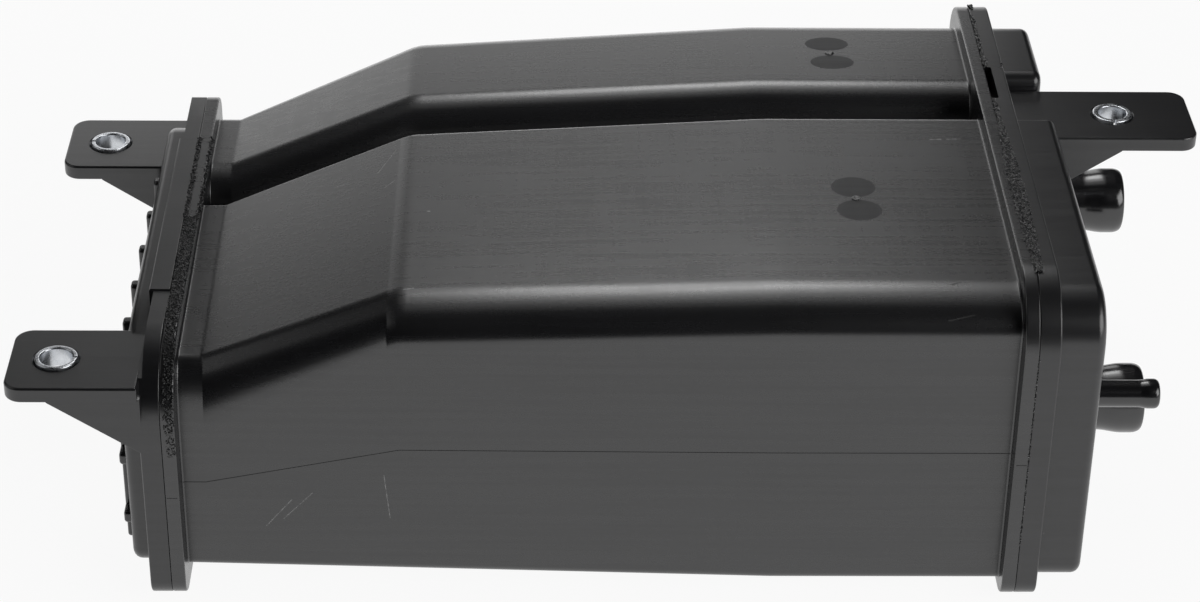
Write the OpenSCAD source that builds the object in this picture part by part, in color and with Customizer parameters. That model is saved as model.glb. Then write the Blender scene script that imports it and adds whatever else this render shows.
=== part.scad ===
// Charcoal canister: a twin-chamber moulded body with a welded end cover and a welded port cover.
// X runs along the canister from the end cover to the port cover, Y from front to back, Z is up.
// It rests on the lower edges of its flanges at z = 0.

/* [Body] */
// Distance between the two weld planes
weld_span = 240; // [210:1:300]
// Front to back depth of the flange at the end cover
end_depth = 154; // [146:1:168]
// Height of the flange at the end cover
end_height = 83; // [78:1:92]
// Front to back depth of the flange at the port cover
port_depth = 188; // [180:1:205]
// Height of the flange at the port cover
port_height = 101; // [96:1:115]
// Radius of the end flange's front top corner
end_front_corner = 30; // [14:0.5:34]
// Radius of the end flange's back top corner
end_back_corner = 7; // [5:0.5:12]
// Radius of the port flange's front top corner
port_front_corner = 20; // [14:0.5:26]
// Radius of the port flange's back top corner
port_back_corner = 13; // [8:0.5:18]
// Radius of the flanges' lower corners
flange_low_corner = 7; // [5:0.5:12]
// Distance from the flange's edge to the chambers' top and back
flange_rim = 6; // [4:0.5:8]
// Thickness of the flanges that are moulded on the body
body_flange = 4; // [3:0.25:6]
// Wall thickness of the mouldings
wall = 2.8; // [2:0.1:3.6]
// Distance from the end flange's front to the main chamber
end_front = 7; // [5:0.25:9]
// Distance from the port flange's front to the main chamber
port_front = 5.5; // [4:0.25:8]
// Height of the chambers' underside at the end cover
end_foot = 7; // [5:0.25:11]
// Height of the chambers' underside at the port cover
port_foot = 3.4; // [3:0.1:8]

/* [Chambers] */
// Depth of the vent chamber at the end cover
vent_end = 42.5; // [38:0.5:48]
// Depth of the vent chamber at the port cover
vent_port = 54.5; // [50:0.5:62]
// Width of the groove between the chambers
groove = 13; // [10:0.5:18]
// Length of the low flat step beside the end flange
step_length = 6.6; // [4:0.2:12]
// Length of the ramp from the step up to the crease
ramp_length = 54.4; // [40:0.2:70]
// Share of the body's growth that is reached at the crease
crease_share = 0.8; // [0.6:0.01:0.95]
// Length of the drafted stretch from the crease towards the port cover
draft_length = 105; // [60:1:115]
// Radius of the main chamber's front top edge at the end cover
end_front_radius = 22; // [12:0.5:26]
// Radius of that edge from the crease to the port cover
front_radius = 14; // [9:0.5:15]
// Radius of the vent chamber's back top edge at the end cover
end_back_radius = 4; // [3:0.5:8]
// Radius of that edge from the crease to the port cover
back_radius = 9.5; // [6:0.5:12]
// Radius of the chambers' lower edges
low_radius = 3; // [2:0.5:6]
// Radius of the vent chamber's shoulder beside the groove
shoulder_radius = 12.5; // [6:0.5:13]
// Height of the web that joins the chambers in the groove
web_height = 38; // [28:1:50]

/* [Covers] */
// Thickness of the flanges on both covers
cover_flange = 6; // [4.5:0.25:8]
// Distance the end cover's block stands out from its flange
end_block = 5.6; // [4:0.2:10]
// Distance the port cover's blocks stand out from its flange
port_block = 13.4; // [10:0.2:20]
// Pitch of the ribs on the end cover
rib_pitch = 20; // [15:0.5:30]
// Width of the ribs on the end cover
rib_width = 4; // [2:0.25:8]
// Height of the ribs on the end cover
rib_height = 2.2; // [1:0.1:3]
// Distance from the block's edges to the ends of the ribs
rib_margin = 4; // [3:0.5:8]
// Radius of the end cover's upper edges
cap_radius = 11; // [6:0.5:14]
// Radius of the covers' blocks at their lower edges
block_low_radius = 6; // [3:0.5:10]
// Radius of the port cover's rear block beside its tab
block_shoulder = 4; // [3.6:0.1:6]

/* [Mounting tabs] */
// Width of the three tabs
tab_width = 30.5; // [27:0.5:34]
// Thickness of the tabs
tab_thickness = 4.6; // [3.6:0.1:6]
// Radius of the tabs' outer corners
tab_corner = 5; // [3:0.5:9]
// Distance from a flange's top down to its cover's tabs
tab_drop = 11; // [9:0.5:14]
// Distance from the end weld plane to the sleeves of the end cover
end_sleeve_reach = 29.4; // [27:0.2:36]
// Distance from those sleeves to the end of their tabs
end_tab_lip = 13; // [11:0.2:18]
// Distance from the port weld plane to the sleeve of the port cover
port_sleeve_reach = 39; // [35:0.2:46]
// Distance from that sleeve to the end of its tab
port_tab_lip = 24.2; // [12:0.2:30]
// Distance from the port flange's back to the middle of its tab
port_tab_back = 61.2; // [58:0.2:64]
// Distance from the sleeves' middles to the tips of the gussets
gusset_lead = 1.4; // [0:0.1:3]
// Slope of the gussets
gusset_slope = 0.67; // [0.4:0.01:1]
// Thickness of the gussets
gusset_thickness = 3.5; // [2.5:0.1:5]
// Outside diameter of the steel sleeves
sleeve_od = 12; // [11:0.1:13]
// Bore of the two sleeves in the end cover
end_sleeve_id = 9; // [8.4:0.1:9.6]
// Bore of the sleeve in the port cover
port_sleeve_id = 8.5; // [8.4:0.1:9.6]
// Length of the sleeves, a little proud of the tabs
sleeve_length = 6; // [5:0.1:8]
// Width of the slit in the rolled sleeves
sleeve_slit = 0.8; // [0.4:0.1:1.2]

/* [Hose ports] */
// Outside diameter of the necks of the tank and vent ports
large_neck = 19; // [17:0.1:20.2]
// Diameter of the flare on the tank and vent ports
large_flare = 20.8; // [20.4:0.1:24]
// Bore of the tank and vent ports
large_bore = 15; // [11:0.1:16]
// Outside diameter of the neck of the purge port
small_neck = 7.8; // [7:0.1:8.2]
// Diameter of the bead on the purge port
small_bead = 8.6; // [8.4:0.1:9.4]
// Bore of the purge port
small_bore = 5; // [3:0.1:5.4]
// Length of the tank port beyond its block
tank_length = 23.7; // [18:0.1:40]
// Distance of the tank port from the flange's front
tank_front = 62; // [58:0.5:72]
// Height of the tank port
tank_height = 29; // [24:0.5:34]
// Length of the purge port beyond its block
purge_length = 21; // [15:0.2:35]
// Distance of the purge port from the flange's front
purge_front = 28; // [22:0.5:32]
// Height of the purge port
purge_height = 53; // [40:0.5:65]
// Length of the vent port beyond its block
vent_length = 32.4; // [24:0.1:45]
// Distance of the vent port from the flange's back
vent_back = 27; // [23:0.5:29]
// Height of the vent port
vent_height = 40; // [30:0.5:60]

/* [Inside] */
// Clearance round the pieces that slide into the chambers
slide_gap = 0.3; // [0.2:0.05:0.6]
// Clearance round the pressed sleeves
press_gap = 0.05; // [0.02:0.01:0.1]
// Thickness of the grids and pressure plates
plate_thickness = 3; // [2:0.1:4]
// Thickness of the filter pads at the port side
screen_thickness = 4; // [3:0.1:8]
// Thickness of the foam pads at the spring side
pad_thickness = 5; // [3:0.1:8]
// Distance from the port weld plane to the grids
grid_depth = 7; // [5:0.5:15]
// Distance from the end weld plane to the pressure plates
plate_depth = 7; // [5:0.5:7.5]
// Diameter of the holes in grids and plates
hole_d = 6; // [4:0.1:8]
// Pitch of the holes in grids and plates
hole_pitch = 12; // [10:0.5:16]
// Diameter of the posts that carry the grids
post_d = 6; // [4:0.1:8]
// Outside diameter of the main chamber's springs
main_spring_od = 34; // [28:0.5:38]
// Outside diameter of the vent chamber's spring
vent_spring_od = 20; // [16:0.5:24]
// Wire diameter of the springs
spring_wire = 2; // [1.5:0.1:2.5]
// Turns of the springs
spring_turns = 3; // [2:0.5:4]
// Height of the bosses that locate the springs
boss_height = 3; // [2:0.1:5]

/* [Hidden] */
$fn = 64;
// Segments of a rounded edge, sides of a spring's wire and its rings to a turn
edge_steps = 10;
wire_sides = 8;
coil_steps = 20;
// Radius of the main chamber's crisp edge beside the groove
crisp_radius = 1.2;
// Smallest radius left inside a rounded edge
least_radius = 0.6;
// Depth that a joined shape is sunk into its neighbour, and overlap of a cut
sink = 1;
// Flare at a large port's tip: its widening stretch, its widest stretch, its rounded end
// and the radius lost there
flare_rise = 8;
flare_land = 2.4;
flare_round = 3;
flare_drop = 1.4;
flare_steps = 6;
// Bead at the small port's tip and its rounded ends
bead_length = 5;
bead_round = 0.8;
// Step in the end cover's flange above its tabs
tab_relief = 1.3;

BODY_BLACK = "#26272a";
COVER_BLACK = "#222326";
ZINC = "#b9bcc0";
CARBON = "#17171a";
FOAM = "#6d6f73";
NATURAL = "#d8d6cf";
SPRING_STEEL = "#8d9096";

// Places along the canister
end_weld = -weld_span / 2;
port_weld = weld_span / 2;
body_start = end_weld + body_flange;
ramp_start = body_start + step_length;
crease = ramp_start + ramp_length;
draft_end = crease + draft_length;
end_face = end_weld - cover_flange - end_block;
port_face = port_weld + cover_flange + port_block;
end_sleeve_x = end_weld - end_sleeve_reach;
port_sleeve_x = port_weld + port_sleeve_reach;
end_tip = end_sleeve_x - end_tab_lip;
port_tip = port_sleeve_x + port_tab_lip;
grid_x = port_weld - grid_depth;
plate_x = end_weld + plate_depth;
bed_start = plate_x + plate_thickness + pad_thickness;
bed_end = grid_x - plate_thickness - screen_thickness;

// Middle of the whole outline, which becomes the origin
middle_x = (end_tip + port_tip) / 2;
middle_y = max(end_depth, port_depth) / 2;

// Heights of the tabs and places of their middles
end_tab_top = end_height - tab_drop;
port_tab_top = port_height - tab_drop;
front_tab_y = tab_width / 2;
rear_tab_y = end_depth - tab_width / 2;
port_tab_y = port_depth - port_tab_back;
vent_block_front = port_tab_y + tab_width / 2;
vent_port_y = port_depth - vent_back;

function mix(a, b, t) = a + (b - a) * t;
function clamp(t) = min(1, max(0, t));

// Share of the top's and back's growth at a place along the canister
function growth(x) =
    x <= crease
        ? crease_share * clamp((x - ramp_start) / ramp_length)
        : mix(crease_share, 1, clamp((x - crease) / draft_length));

// Share of the front's and underside's draft
function draft(x) = clamp((x - body_start) / (draft_end - body_start));

// Walls of the two chambers
function front_y(x) = mix(end_front, port_front, draft(x));
function low_z(x) = mix(end_foot, port_foot, draft(x));
function top_z(x) = mix(end_height, port_height, growth(x)) - flange_rim;
function back_y(x) = mix(end_depth, port_depth, growth(x)) - flange_rim;
function vent_y(x) = back_y(x) - mix(vent_end, vent_port, growth(x));
function main_y(x) = vent_y(x) - groove;

// Sections of the chambers, drawn in by an inset: [y from, y to, z from, z to]
function main_box(x, inset) =
    [front_y(x) + inset, main_y(x) - inset, low_z(x) + inset, top_z(x) - inset];
function vent_box(x, inset) =
    [vent_y(x) + inset, back_y(x) - inset, low_z(x) + inset, top_z(x) - inset];

// Radii of a section's corners: back top, front top, front low, back low
function inner_radius(r, inset) = max(r - inset, least_radius);
function rise(x) = clamp((x - ramp_start) / ramp_length);
function front_edge(x) = mix(end_front_radius, front_radius, rise(x));
function back_edge(x) = mix(end_back_radius, back_radius, rise(x));
function main_radii(x, inset) =
    [for (r = [crisp_radius, front_edge(x), low_radius, low_radius]) inner_radius(r, inset)];
function vent_radii(x, inset) =
    [for (r = [back_edge(x), shoulder_radius, low_radius, low_radius]) inner_radius(r, inset)];
function cap_radii(inset) =
    [for (r = [cap_radius, cap_radius, block_low_radius, block_low_radius]) inner_radius(r, inset)];
function main_block_radii(inset) =
    [for (r = [crisp_radius, front_radius, block_low_radius, block_low_radius]) inner_radius(r, inset)];
function vent_block_radii(inset) =
    [for (r = [back_radius, block_shoulder, block_low_radius, block_low_radius]) inner_radius(r, inset)];

// Rounded ring of points at one place along the canister
function corner(x, y, z, r, from) =
    [for (i = [0:edge_steps])
        let (a = from + 90 * i / edge_steps)
        [x, y + r * cos(a), z + r * sin(a)]];
function ring(x, box, r) =
    concat(
        corner(x, box[1] - r[0], box[3] - r[0], r[0], 0),
        corner(x, box[0] + r[1], box[3] - r[1], r[1], 90),
        corner(x, box[0] + r[2], box[2] + r[2], r[2], 180),
        corner(x, box[1] - r[3], box[2] + r[3], r[3], 270));

// Places of the rings between two ends, with the bends that lie between them
function stations(from, to) =
    concat([from], [for (x = [ramp_start, crease, draft_end]) if (x > from && x < to) x], [to]);

// Centres of a row of features between two limits
function spread(from, to, pitch) =
    let (n = floor((to - from) / pitch))
    [for (i = [0:n]) (from + to) / 2 + (i - n / 2) * pitch];

module in_frame() {
    translate([-middle_x, -middle_y, 0]) children();
}

// Closed skin through rings of points
module loft(rings) {
    n = len(rings[0]);
    last = len(rings) - 1;
    sides = [for (i = [0:last - 1], j = [0:n - 1])
        let (a = i * n + j, b = i * n + (j + 1) % n)
        each [[a, b + n, b], [a, a + n, b + n]]];
    first_cap = [for (j = [0:n - 1]) j];
    last_cap = [for (j = [n - 1:-1:0]) last * n + j];
    polyhedron([for (r = rings) each r], concat(sides, [first_cap, last_cap]));
}

module main_solid(from, to, inset) {
    loft([for (x = stations(from, to)) ring(x, main_box(x, inset), main_radii(x, inset))]);
}

module vent_solid(from, to, inset) {
    loft([for (x = stations(from, to)) ring(x, vent_box(x, inset), vent_radii(x, inset))]);
}

// Rectangle with four rounded corners, extruded along X
module slab(from, to, box, r) {
    centres = [
        [box[1] - r[0], box[3] - r[0]],
        [box[0] + r[1], box[3] - r[1]],
        [box[0] + r[2], box[2] + r[2]],
        [box[1] - r[3], box[2] + r[3]]];
    translate([from, 0, 0])
        rotate([90, 0, 90])
            linear_extrude(to - from) {
                polygon([for (i = [0:3], a = [90 * i, 90 * i + 90]) centres[i] + r[i] * [cos(a), sin(a)]]);
                for (i = [0:3])
                    translate(centres[i]) circle(r[i]);
            }
}

// Round bar along X
module bar(from, to, y, z, d) {
    translate([from, y, z]) rotate([0, 90, 0]) cylinder(h = to - from, d = d);
}

// Web that joins the chambers in the groove
module groove_web() {
    loft([for (x = stations(body_start - sink, port_weld - sink))
        let (y0 = main_y(x) - sink, y1 = vent_y(x) + sink, z1 = web_height, z0 = z1 - wall)
        [[x, y1, z1], [x, y0, z1], [x, y0, z0], [x, y1, z0]]]);
}

// Tab that points away from its cover, with a gusset under each of its edges;
// side is -1 for the end cover and 1 for the port cover
module tab(side, root, sleeve_x, tip, y, top) {
    reach = abs(tip - root);
    translate([root, y, top - tab_thickness])
        mirror([side < 0 ? 1 : 0, 0, 0]) {
            linear_extrude(tab_thickness) {
                translate([-sink, -tab_width / 2]) square([reach + sink - tab_corner, tab_width]);
                translate([0, tab_corner - tab_width / 2]) square([reach, tab_width - 2 * tab_corner]);
                for (s = [-1, 1])
                    translate([reach - tab_corner, s * (tab_width / 2 - tab_corner)]) circle(tab_corner);
            }
            for (edge = [gusset_thickness - tab_width / 2, tab_width / 2])
                translate([0, edge, 0]) gusset(abs(sleeve_x - root) + gusset_lead);
        }
}

// Triangular rib under a tab
module gusset(length) {
    drop = length * gusset_slope;
    rotate([90, 0, 0])
        linear_extrude(gusset_thickness)
            polygon([[-sink, sink], [length, sink], [length, 0], [0, -drop], [-sink, -drop]]);
}

module sleeve_hole(x, y, top) {
    translate([x, y, top - tab_thickness - sink])
        cylinder(h = tab_thickness + 2 * sink, d = sleeve_od + 2 * press_gap);
}

// Rolled steel sleeve, its slit turned to an angle
module sleeve(x, y, top, bore, slit_angle) {
    color(ZINC) in_frame()
        translate([x, y, top - tab_thickness / 2 - sleeve_length / 2])
            difference() {
                cylinder(h = sleeve_length, d = sleeve_od);
                translate([0, 0, -sink]) cylinder(h = sleeve_length + 2 * sink, d = bore);
                rotate([0, 0, slit_angle])
                    translate([0, -sleeve_slit / 2, -sink])
                        cube([sleeve_od, sleeve_slit, sleeve_length + 2 * sink]);
            }
}

// Outline of a flare, from the neck out to the tip
function ease(t) = (1 - cos(180 * t)) / 2;
flare_rising = [for (i = [0:flare_steps])
    let (t = i / flare_steps)
    [mix(large_neck, large_flare, ease(t)) / 2, flare_rise * (t - 1) - flare_land - flare_round]];
flare_closing = [for (i = [0:flare_steps])
    let (a = 90 * i / flare_steps)
    [large_flare / 2 - flare_drop * (1 - cos(a)), flare_round * (sin(a) - 1)]];
flare_outline = concat([[0, flare_rising[0][1]]], flare_rising, flare_closing, [[0, 0]]);

// Outline of the bead, which ends in a neck as well
bead_outline = [
    [0, -bead_length],
    [small_neck / 2, -bead_length],
    [small_bead / 2, bead_round - bead_length],
    [small_bead / 2, -bead_round],
    [small_neck / 2, 0],
    [0, 0]];

// Hose port that stands on the port cover's block; its tip is turned from an outline
module hose_port(length, y, z, neck, bore, outline) {
    tip = port_face + length;
    color(COVER_BLACK) in_frame()
        difference() {
            union() {
                bar(port_face, tip - flare_round, y, z, neck);
                translate([tip, y, z]) rotate([0, 90, 0]) rotate_extrude() polygon(outline);
            }
            bar(port_face - sink, tip + sink, y, z, bore);
        }
}

// Outline of a loose plate that fits the chambers at both of its faces
function shared_box(a, b) = [max(a[0], b[0]), min(a[1], b[1]), max(a[2], b[2]), min(a[3], b[3])];
function widest(a, b) = [for (i = [0:3]) max(a[i], b[i])];
loose = wall + slide_gap;
function main_fit(from, to) = shared_box(main_box(from, loose), main_box(to, loose));
function vent_fit(from, to) = shared_box(vent_box(from, loose), vent_box(to, loose));
function main_fit_radii(from, to) = widest(main_radii(from, loose), main_radii(to, loose));
function vent_fit_radii(from, to) = widest(vent_radii(from, loose), vent_radii(to, loose));

module perforated(from, to, box, radii) {
    margin = hole_d;
    difference() {
        slab(from, to, box, radii);
        for (y = spread(box[0] + margin, box[1] - margin, hole_pitch))
            for (z = spread(box[2] + margin, box[3] - margin, hole_pitch))
                bar(from - sink, to + sink, y, z, hole_d);
    }
}

// Section of the port cover's two blocks, which continue the chambers
port_main = main_box(port_weld, 0);
port_vent = [vent_block_front, vent_box(port_weld, 0)[1], port_foot, port_height - flange_rim];
end_flange = [0, end_depth, 0, end_height];
port_flange = [0, port_depth, 0, port_height];
end_flange_radii = [end_back_corner, end_front_corner, flange_low_corner, flange_low_corner];
port_flange_radii = [port_back_corner, port_front_corner, flange_low_corner, flange_low_corner];
end_cap = [end_front, end_depth - flange_rim, end_foot, end_height - flange_rim];

function drawn_in(box, d) = [box[0] + d, box[1] - d, box[2] + d, box[3] - d];

// Middle of the wall between the tank and purge ports
partition_y = (purge_front + small_neck / 2 + tank_front - large_neck / 2) / 2;

// Places of the springs
spring_z = (low_z(body_start) + top_z(body_start)) / 2;
main_spring_y = [for (s = [-1, 1])
    (front_y(body_start) + main_y(body_start)) / 2 + s * (main_spring_od / 2 + sink)];
vent_spring_y = (vent_y(body_start) + back_y(body_start)) / 2;

module canister_body() {
    color(BODY_BLACK) in_frame()
        difference() {
            union() {
                main_solid(end_weld + sink, port_weld - sink, 0);
                vent_solid(end_weld + sink, port_weld - sink, 0);
                groove_web();
                slab(end_weld, body_start, end_flange, end_flange_radii);
                slab(port_weld - body_flange, port_weld, port_flange, port_flange_radii);
            }
            main_solid(end_weld - sink, port_weld + sink, wall);
            vent_solid(end_weld - sink, port_weld + sink, wall);
        }
}

module end_cover() {
    tab_ys = [front_tab_y, rear_tab_y];
    flange_face = end_weld - cover_flange;
    color(COVER_BLACK) in_frame()
        difference() {
            union() {
                difference() {
                    slab(flange_face, end_weld, end_flange, end_flange_radii);
                    for (y = tab_ys)
                        translate([flange_face - sink, y - tab_width / 2, end_tab_top])
                            cube([sink + tab_relief, tab_width, end_height]);
                }
                slab(end_face, end_weld - sink, end_cap, cap_radii(0));
                end_ribs();
                for (y = tab_ys)
                    tab(-1, flange_face + tab_relief, end_sleeve_x, end_tip, y, end_tab_top);
            }
            slab(end_face + wall, end_weld + sink, drawn_in(end_cap, wall), cap_radii(wall));
            for (y = tab_ys)
                sleeve_hole(end_sleeve_x, y, end_tab_top);
        }
    color(COVER_BLACK) in_frame() {
        for (y = main_spring_y)
            spring_boss(y, main_spring_od);
        spring_boss(vent_spring_y, vent_spring_od);
    }
}

// Lattice of ribs on the end cover's outer face
module end_ribs() {
    area = drawn_in(end_cap, rib_margin);
    middles = drawn_in(area, rib_width);
    reach = rib_height + sink;
    translate([end_face - rib_height, 0, 0]) {
        for (y = spread(middles[0], middles[1], rib_pitch))
            translate([0, y - rib_width / 2, area[2]])
                cube([reach, rib_width, area[3] - area[2]]);
        for (z = spread(middles[2], middles[3], rib_pitch))
            translate([0, area[0], z - rib_width / 2])
                cube([reach, area[1] - area[0], rib_width]);
    }
}

module spring_boss(y, od) {
    boss_d = od - 2 * spring_wire - 2 * sink;
    bar(end_face + wall - sink, end_face + wall + boss_height, y, spring_z, boss_d);
}

module port_cover() {
    flange_face = port_weld + cover_flange;
    inside = port_face - wall;
    color(COVER_BLACK) in_frame() {
        difference() {
            union() {
                slab(port_weld, flange_face, port_flange, port_flange_radii);
                slab(port_weld + sink, port_face, port_main, main_block_radii(0));
                slab(port_weld + sink, port_face, port_vent, vent_block_radii(0));
                tab(1, flange_face, port_sleeve_x, port_tip, port_tab_y, port_tab_top);
            }
            slab(port_weld - sink, inside, drawn_in(port_main, wall), main_block_radii(wall));
            slab(port_weld - sink, inside, drawn_in(port_vent, wall), vent_block_radii(wall));
            bar(inside - sink, port_face + sink, tank_front, tank_height, large_bore);
            bar(inside - sink, port_face + sink, vent_port_y, vent_height, large_bore);
            bar(inside - sink, port_face + sink, purge_front, purge_height, small_bore);
            sleeve_hole(port_sleeve_x, port_tab_y, port_tab_top);
        }
        grid_posts();
    }
}

// Posts and a wall inside the port cover that carry the grids
module grid_posts() {
    main_in = drawn_in(port_main, wall + post_d);
    vent_in = drawn_in(port_vent, wall + post_d);
    root = port_face - wall + sink;
    for (y = [main_in[0], main_in[1]], z = [main_in[2], main_in[3]])
        bar(grid_x, root, y, z, post_d);
    for (z = [vent_in[2], vent_in[3]])
        bar(grid_x, root, (vent_in[0] + vent_in[1]) / 2, z, post_d);
    rib = drawn_in(port_main, loose);
    translate([grid_x, partition_y - wall / 2, rib[2]])
        cube([root - grid_x, wall, rib[3] - rib[2]]);
}

module carbon_main() {
    color(CARBON) in_frame() main_solid(bed_start, bed_end, loose);
}

module carbon_vent() {
    color(CARBON) in_frame() vent_solid(bed_start, bed_end, loose);
}

// Grids on the port side of the beds
module grid_main() {
    from = grid_x - plate_thickness;
    color(NATURAL) in_frame() perforated(from, grid_x, main_fit(from, grid_x), main_fit_radii(from, grid_x));
}

module grid_vent() {
    from = grid_x - plate_thickness;
    color(NATURAL) in_frame() perforated(from, grid_x, vent_fit(from, grid_x), vent_fit_radii(from, grid_x));
}

// Filter pads between the grids and the beds; the main chamber's pad is split below the partition
screen_end = bed_end + screen_thickness;
screen_main = main_fit(bed_end, screen_end);
screen_radii = main_fit_radii(bed_end, screen_end);

module screen_tank() {
    box = [partition_y, screen_main[1], screen_main[2], screen_main[3]];
    radii = [screen_radii[0], least_radius, least_radius, screen_radii[3]];
    color(FOAM) in_frame() slab(bed_end, screen_end, box, radii);
}

module screen_purge() {
    box = [screen_main[0], partition_y, screen_main[2], screen_main[3]];
    radii = [least_radius, screen_radii[1], screen_radii[2], least_radius];
    color(FOAM) in_frame() slab(bed_end, screen_end, box, radii);
}

module screen_vent() {
    color(FOAM) in_frame()
        slab(bed_end, screen_end, vent_fit(bed_end, screen_end), vent_fit_radii(bed_end, screen_end));
}

// Foam pads between the beds and the pressure plates
module pad_main() {
    from = bed_start - pad_thickness;
    color(FOAM) in_frame() slab(from, bed_start, main_fit(from, bed_start), main_fit_radii(from, bed_start));
}

module pad_vent() {
    from = bed_start - pad_thickness;
    color(FOAM) in_frame() slab(from, bed_start, vent_fit(from, bed_start), vent_fit_radii(from, bed_start));
}

// Pressure plates that the springs push against the pads
module plate_main() {
    to = plate_x + plate_thickness;
    color(NATURAL) in_frame() perforated(plate_x, to, main_fit(plate_x, to), main_fit_radii(plate_x, to));
}

module plate_vent() {
    to = plate_x + plate_thickness;
    color(NATURAL) in_frame() perforated(plate_x, to, vent_fit(plate_x, to), vent_fit_radii(plate_x, to));
}

// Coil spring along X between the end cover and a pressure plate
module coil(y, od) {
    wire = spring_wire / 2;
    r = od / 2 - wire;
    from = end_face + wall + wire + press_gap;
    to = plate_x - wire - press_gap;
    steps = spring_turns * coil_steps;
    color(SPRING_STEEL) in_frame()
        loft([for (i = [0:steps])
            let (a = 360 * i / coil_steps)
            [for (j = [0:wire_sides - 1])
                let (b = 360 * j / wire_sides, out = r + wire * cos(b))
                [mix(from, to, i / steps) - wire * sin(b), y + out * cos(a), spring_z + out * sin(a)]]]);
}

canister_body();
end_cover();
port_cover();
hose_port(tank_length, tank_front, tank_height, large_neck, large_bore, flare_outline);  // port_tank
hose_port(purge_length, purge_front, purge_height, small_neck, small_bore, bead_outline);  // port_purge
hose_port(vent_length, vent_port_y, vent_height, large_neck, large_bore, flare_outline);  // port_vent
sleeve(end_sleeve_x, front_tab_y, end_tab_top, end_sleeve_id, 0);  // sleeve_front_left
sleeve(end_sleeve_x, rear_tab_y, end_tab_top, end_sleeve_id, 180);  // sleeve_rear_left
sleeve(port_sleeve_x, port_tab_y, port_tab_top, port_sleeve_id, 270);  // sleeve_port_side
carbon_main();
carbon_vent();
grid_main();
grid_vent();
screen_tank();
screen_purge();
screen_vent();
pad_main();
pad_vent();
plate_main();
plate_vent();
coil(main_spring_y[0], main_spring_od);  // spring_main_front
coil(main_spring_y[1], main_spring_od);  // spring_main_rear
coil(vent_spring_y, vent_spring_od);  // spring_vent
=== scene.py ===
"""Charcoal canister: the visible mouldings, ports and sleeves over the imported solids, with their materials,
a plain studio and the photograph's camera.

Lengths are millimetres in the part's design frame until metres() places them: x = 0 lies midway between
the two weld planes, y = 0 at the flanges' front and z = 0 on the floor.
"""
import math
import random

import bmesh
import bpy
from mathutils import Matrix, Vector


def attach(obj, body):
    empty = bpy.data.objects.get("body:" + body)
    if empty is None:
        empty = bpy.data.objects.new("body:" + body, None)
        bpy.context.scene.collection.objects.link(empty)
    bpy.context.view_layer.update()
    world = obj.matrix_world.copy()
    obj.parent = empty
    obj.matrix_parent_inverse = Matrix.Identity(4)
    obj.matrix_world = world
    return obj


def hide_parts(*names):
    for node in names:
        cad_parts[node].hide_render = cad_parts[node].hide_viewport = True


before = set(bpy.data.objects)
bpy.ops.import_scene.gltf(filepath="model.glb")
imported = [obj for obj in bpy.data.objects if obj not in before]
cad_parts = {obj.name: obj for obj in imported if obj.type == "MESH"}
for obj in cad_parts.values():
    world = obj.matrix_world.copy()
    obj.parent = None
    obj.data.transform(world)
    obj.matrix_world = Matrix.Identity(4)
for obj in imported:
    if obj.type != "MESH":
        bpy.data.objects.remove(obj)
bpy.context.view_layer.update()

# Sizes, the same as in the part's source
END_WELD, PORT_WELD = -120.0, 120.0
END_DEPTH, END_HEIGHT = 154.0, 83.0
PORT_DEPTH, PORT_HEIGHT = 188.0, 101.0
END_BACK_CORNER, PORT_FRONT_CORNER, PORT_BACK_CORNER = 7.0, 20.0, 13.0
FLANGE_LOW_CORNER, FLANGE_RIM = 7.0, 6.0
BODY_FLANGE, COVER_FLANGE, WALL = 4.0, 6.0, 2.8
END_FRONT, PORT_FRONT, END_FOOT, PORT_FOOT = 7.0, 5.5, 7.0, 3.4
VENT_END, VENT_PORT, GROOVE = 42.5, 54.5, 13.0
STEP_LENGTH, RAMP_LENGTH, DRAFT_LENGTH, CREASE_SHARE = 6.6, 54.4, 105.0, 0.8
FRONT_RADIUS, END_BACK_RADIUS, BACK_RADIUS = 14.0, 4.0, 9.5
LOW_RADIUS, SHOULDER_RADIUS, TOP_EDGE = 3.0, 12.5, 1.2
WEB_HEIGHT = 38.0
END_BLOCK, PORT_BLOCK = 5.6, 13.4
RIB_PITCH, RIB_WIDTH, RIB_HEIGHT, RIB_MARGIN = 20.0, 4.0, 2.2, 4.0
CAP_RADIUS, BLOCK_LOW_RADIUS, BLOCK_SHOULDER = 11.0, 6.0, 4.0
TAB_WIDTH, TAB_THICKNESS, TAB_CORNER, TAB_DROP, TAB_RELIEF = 30.5, 4.6, 5.0, 11.0, 1.3
END_SLEEVE_REACH, END_TAB_LIP, PORT_SLEEVE_REACH, PORT_TAB_LIP, PORT_TAB_BACK = 29.4, 13.0, 39.0, 24.2, 61.2
GUSSET_LEAD, GUSSET_SLOPE, GUSSET_THICKNESS = 1.4, 0.67, 3.5
SLEEVE_OD, END_SLEEVE_ID, PORT_SLEEVE_ID, SLEEVE_LENGTH, SLEEVE_SLIT = 12.0, 9.0, 8.5, 6.0, 0.8
LARGE_NECK, LARGE_FLARE, LARGE_BORE = 19.0, 20.8, 15.0
SMALL_NECK, SMALL_BEAD, SMALL_BORE = 7.8, 8.6, 5.0
FLARE_RISE, FLARE_LAND, FLARE_ROUND, FLARE_DROP, BEAD_LENGTH = 8.0, 2.4, 3.0, 1.4, 5.0
TANK = {"length": 23.7, "y": 62.0, "z": 29.0}
PURGE = {"length": 21.0, "y": 28.0, "z": 53.0}
VENT = {"length": 32.4, "y": PORT_DEPTH - 27.0, "z": 40.0}
SINK = 1.0

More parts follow.
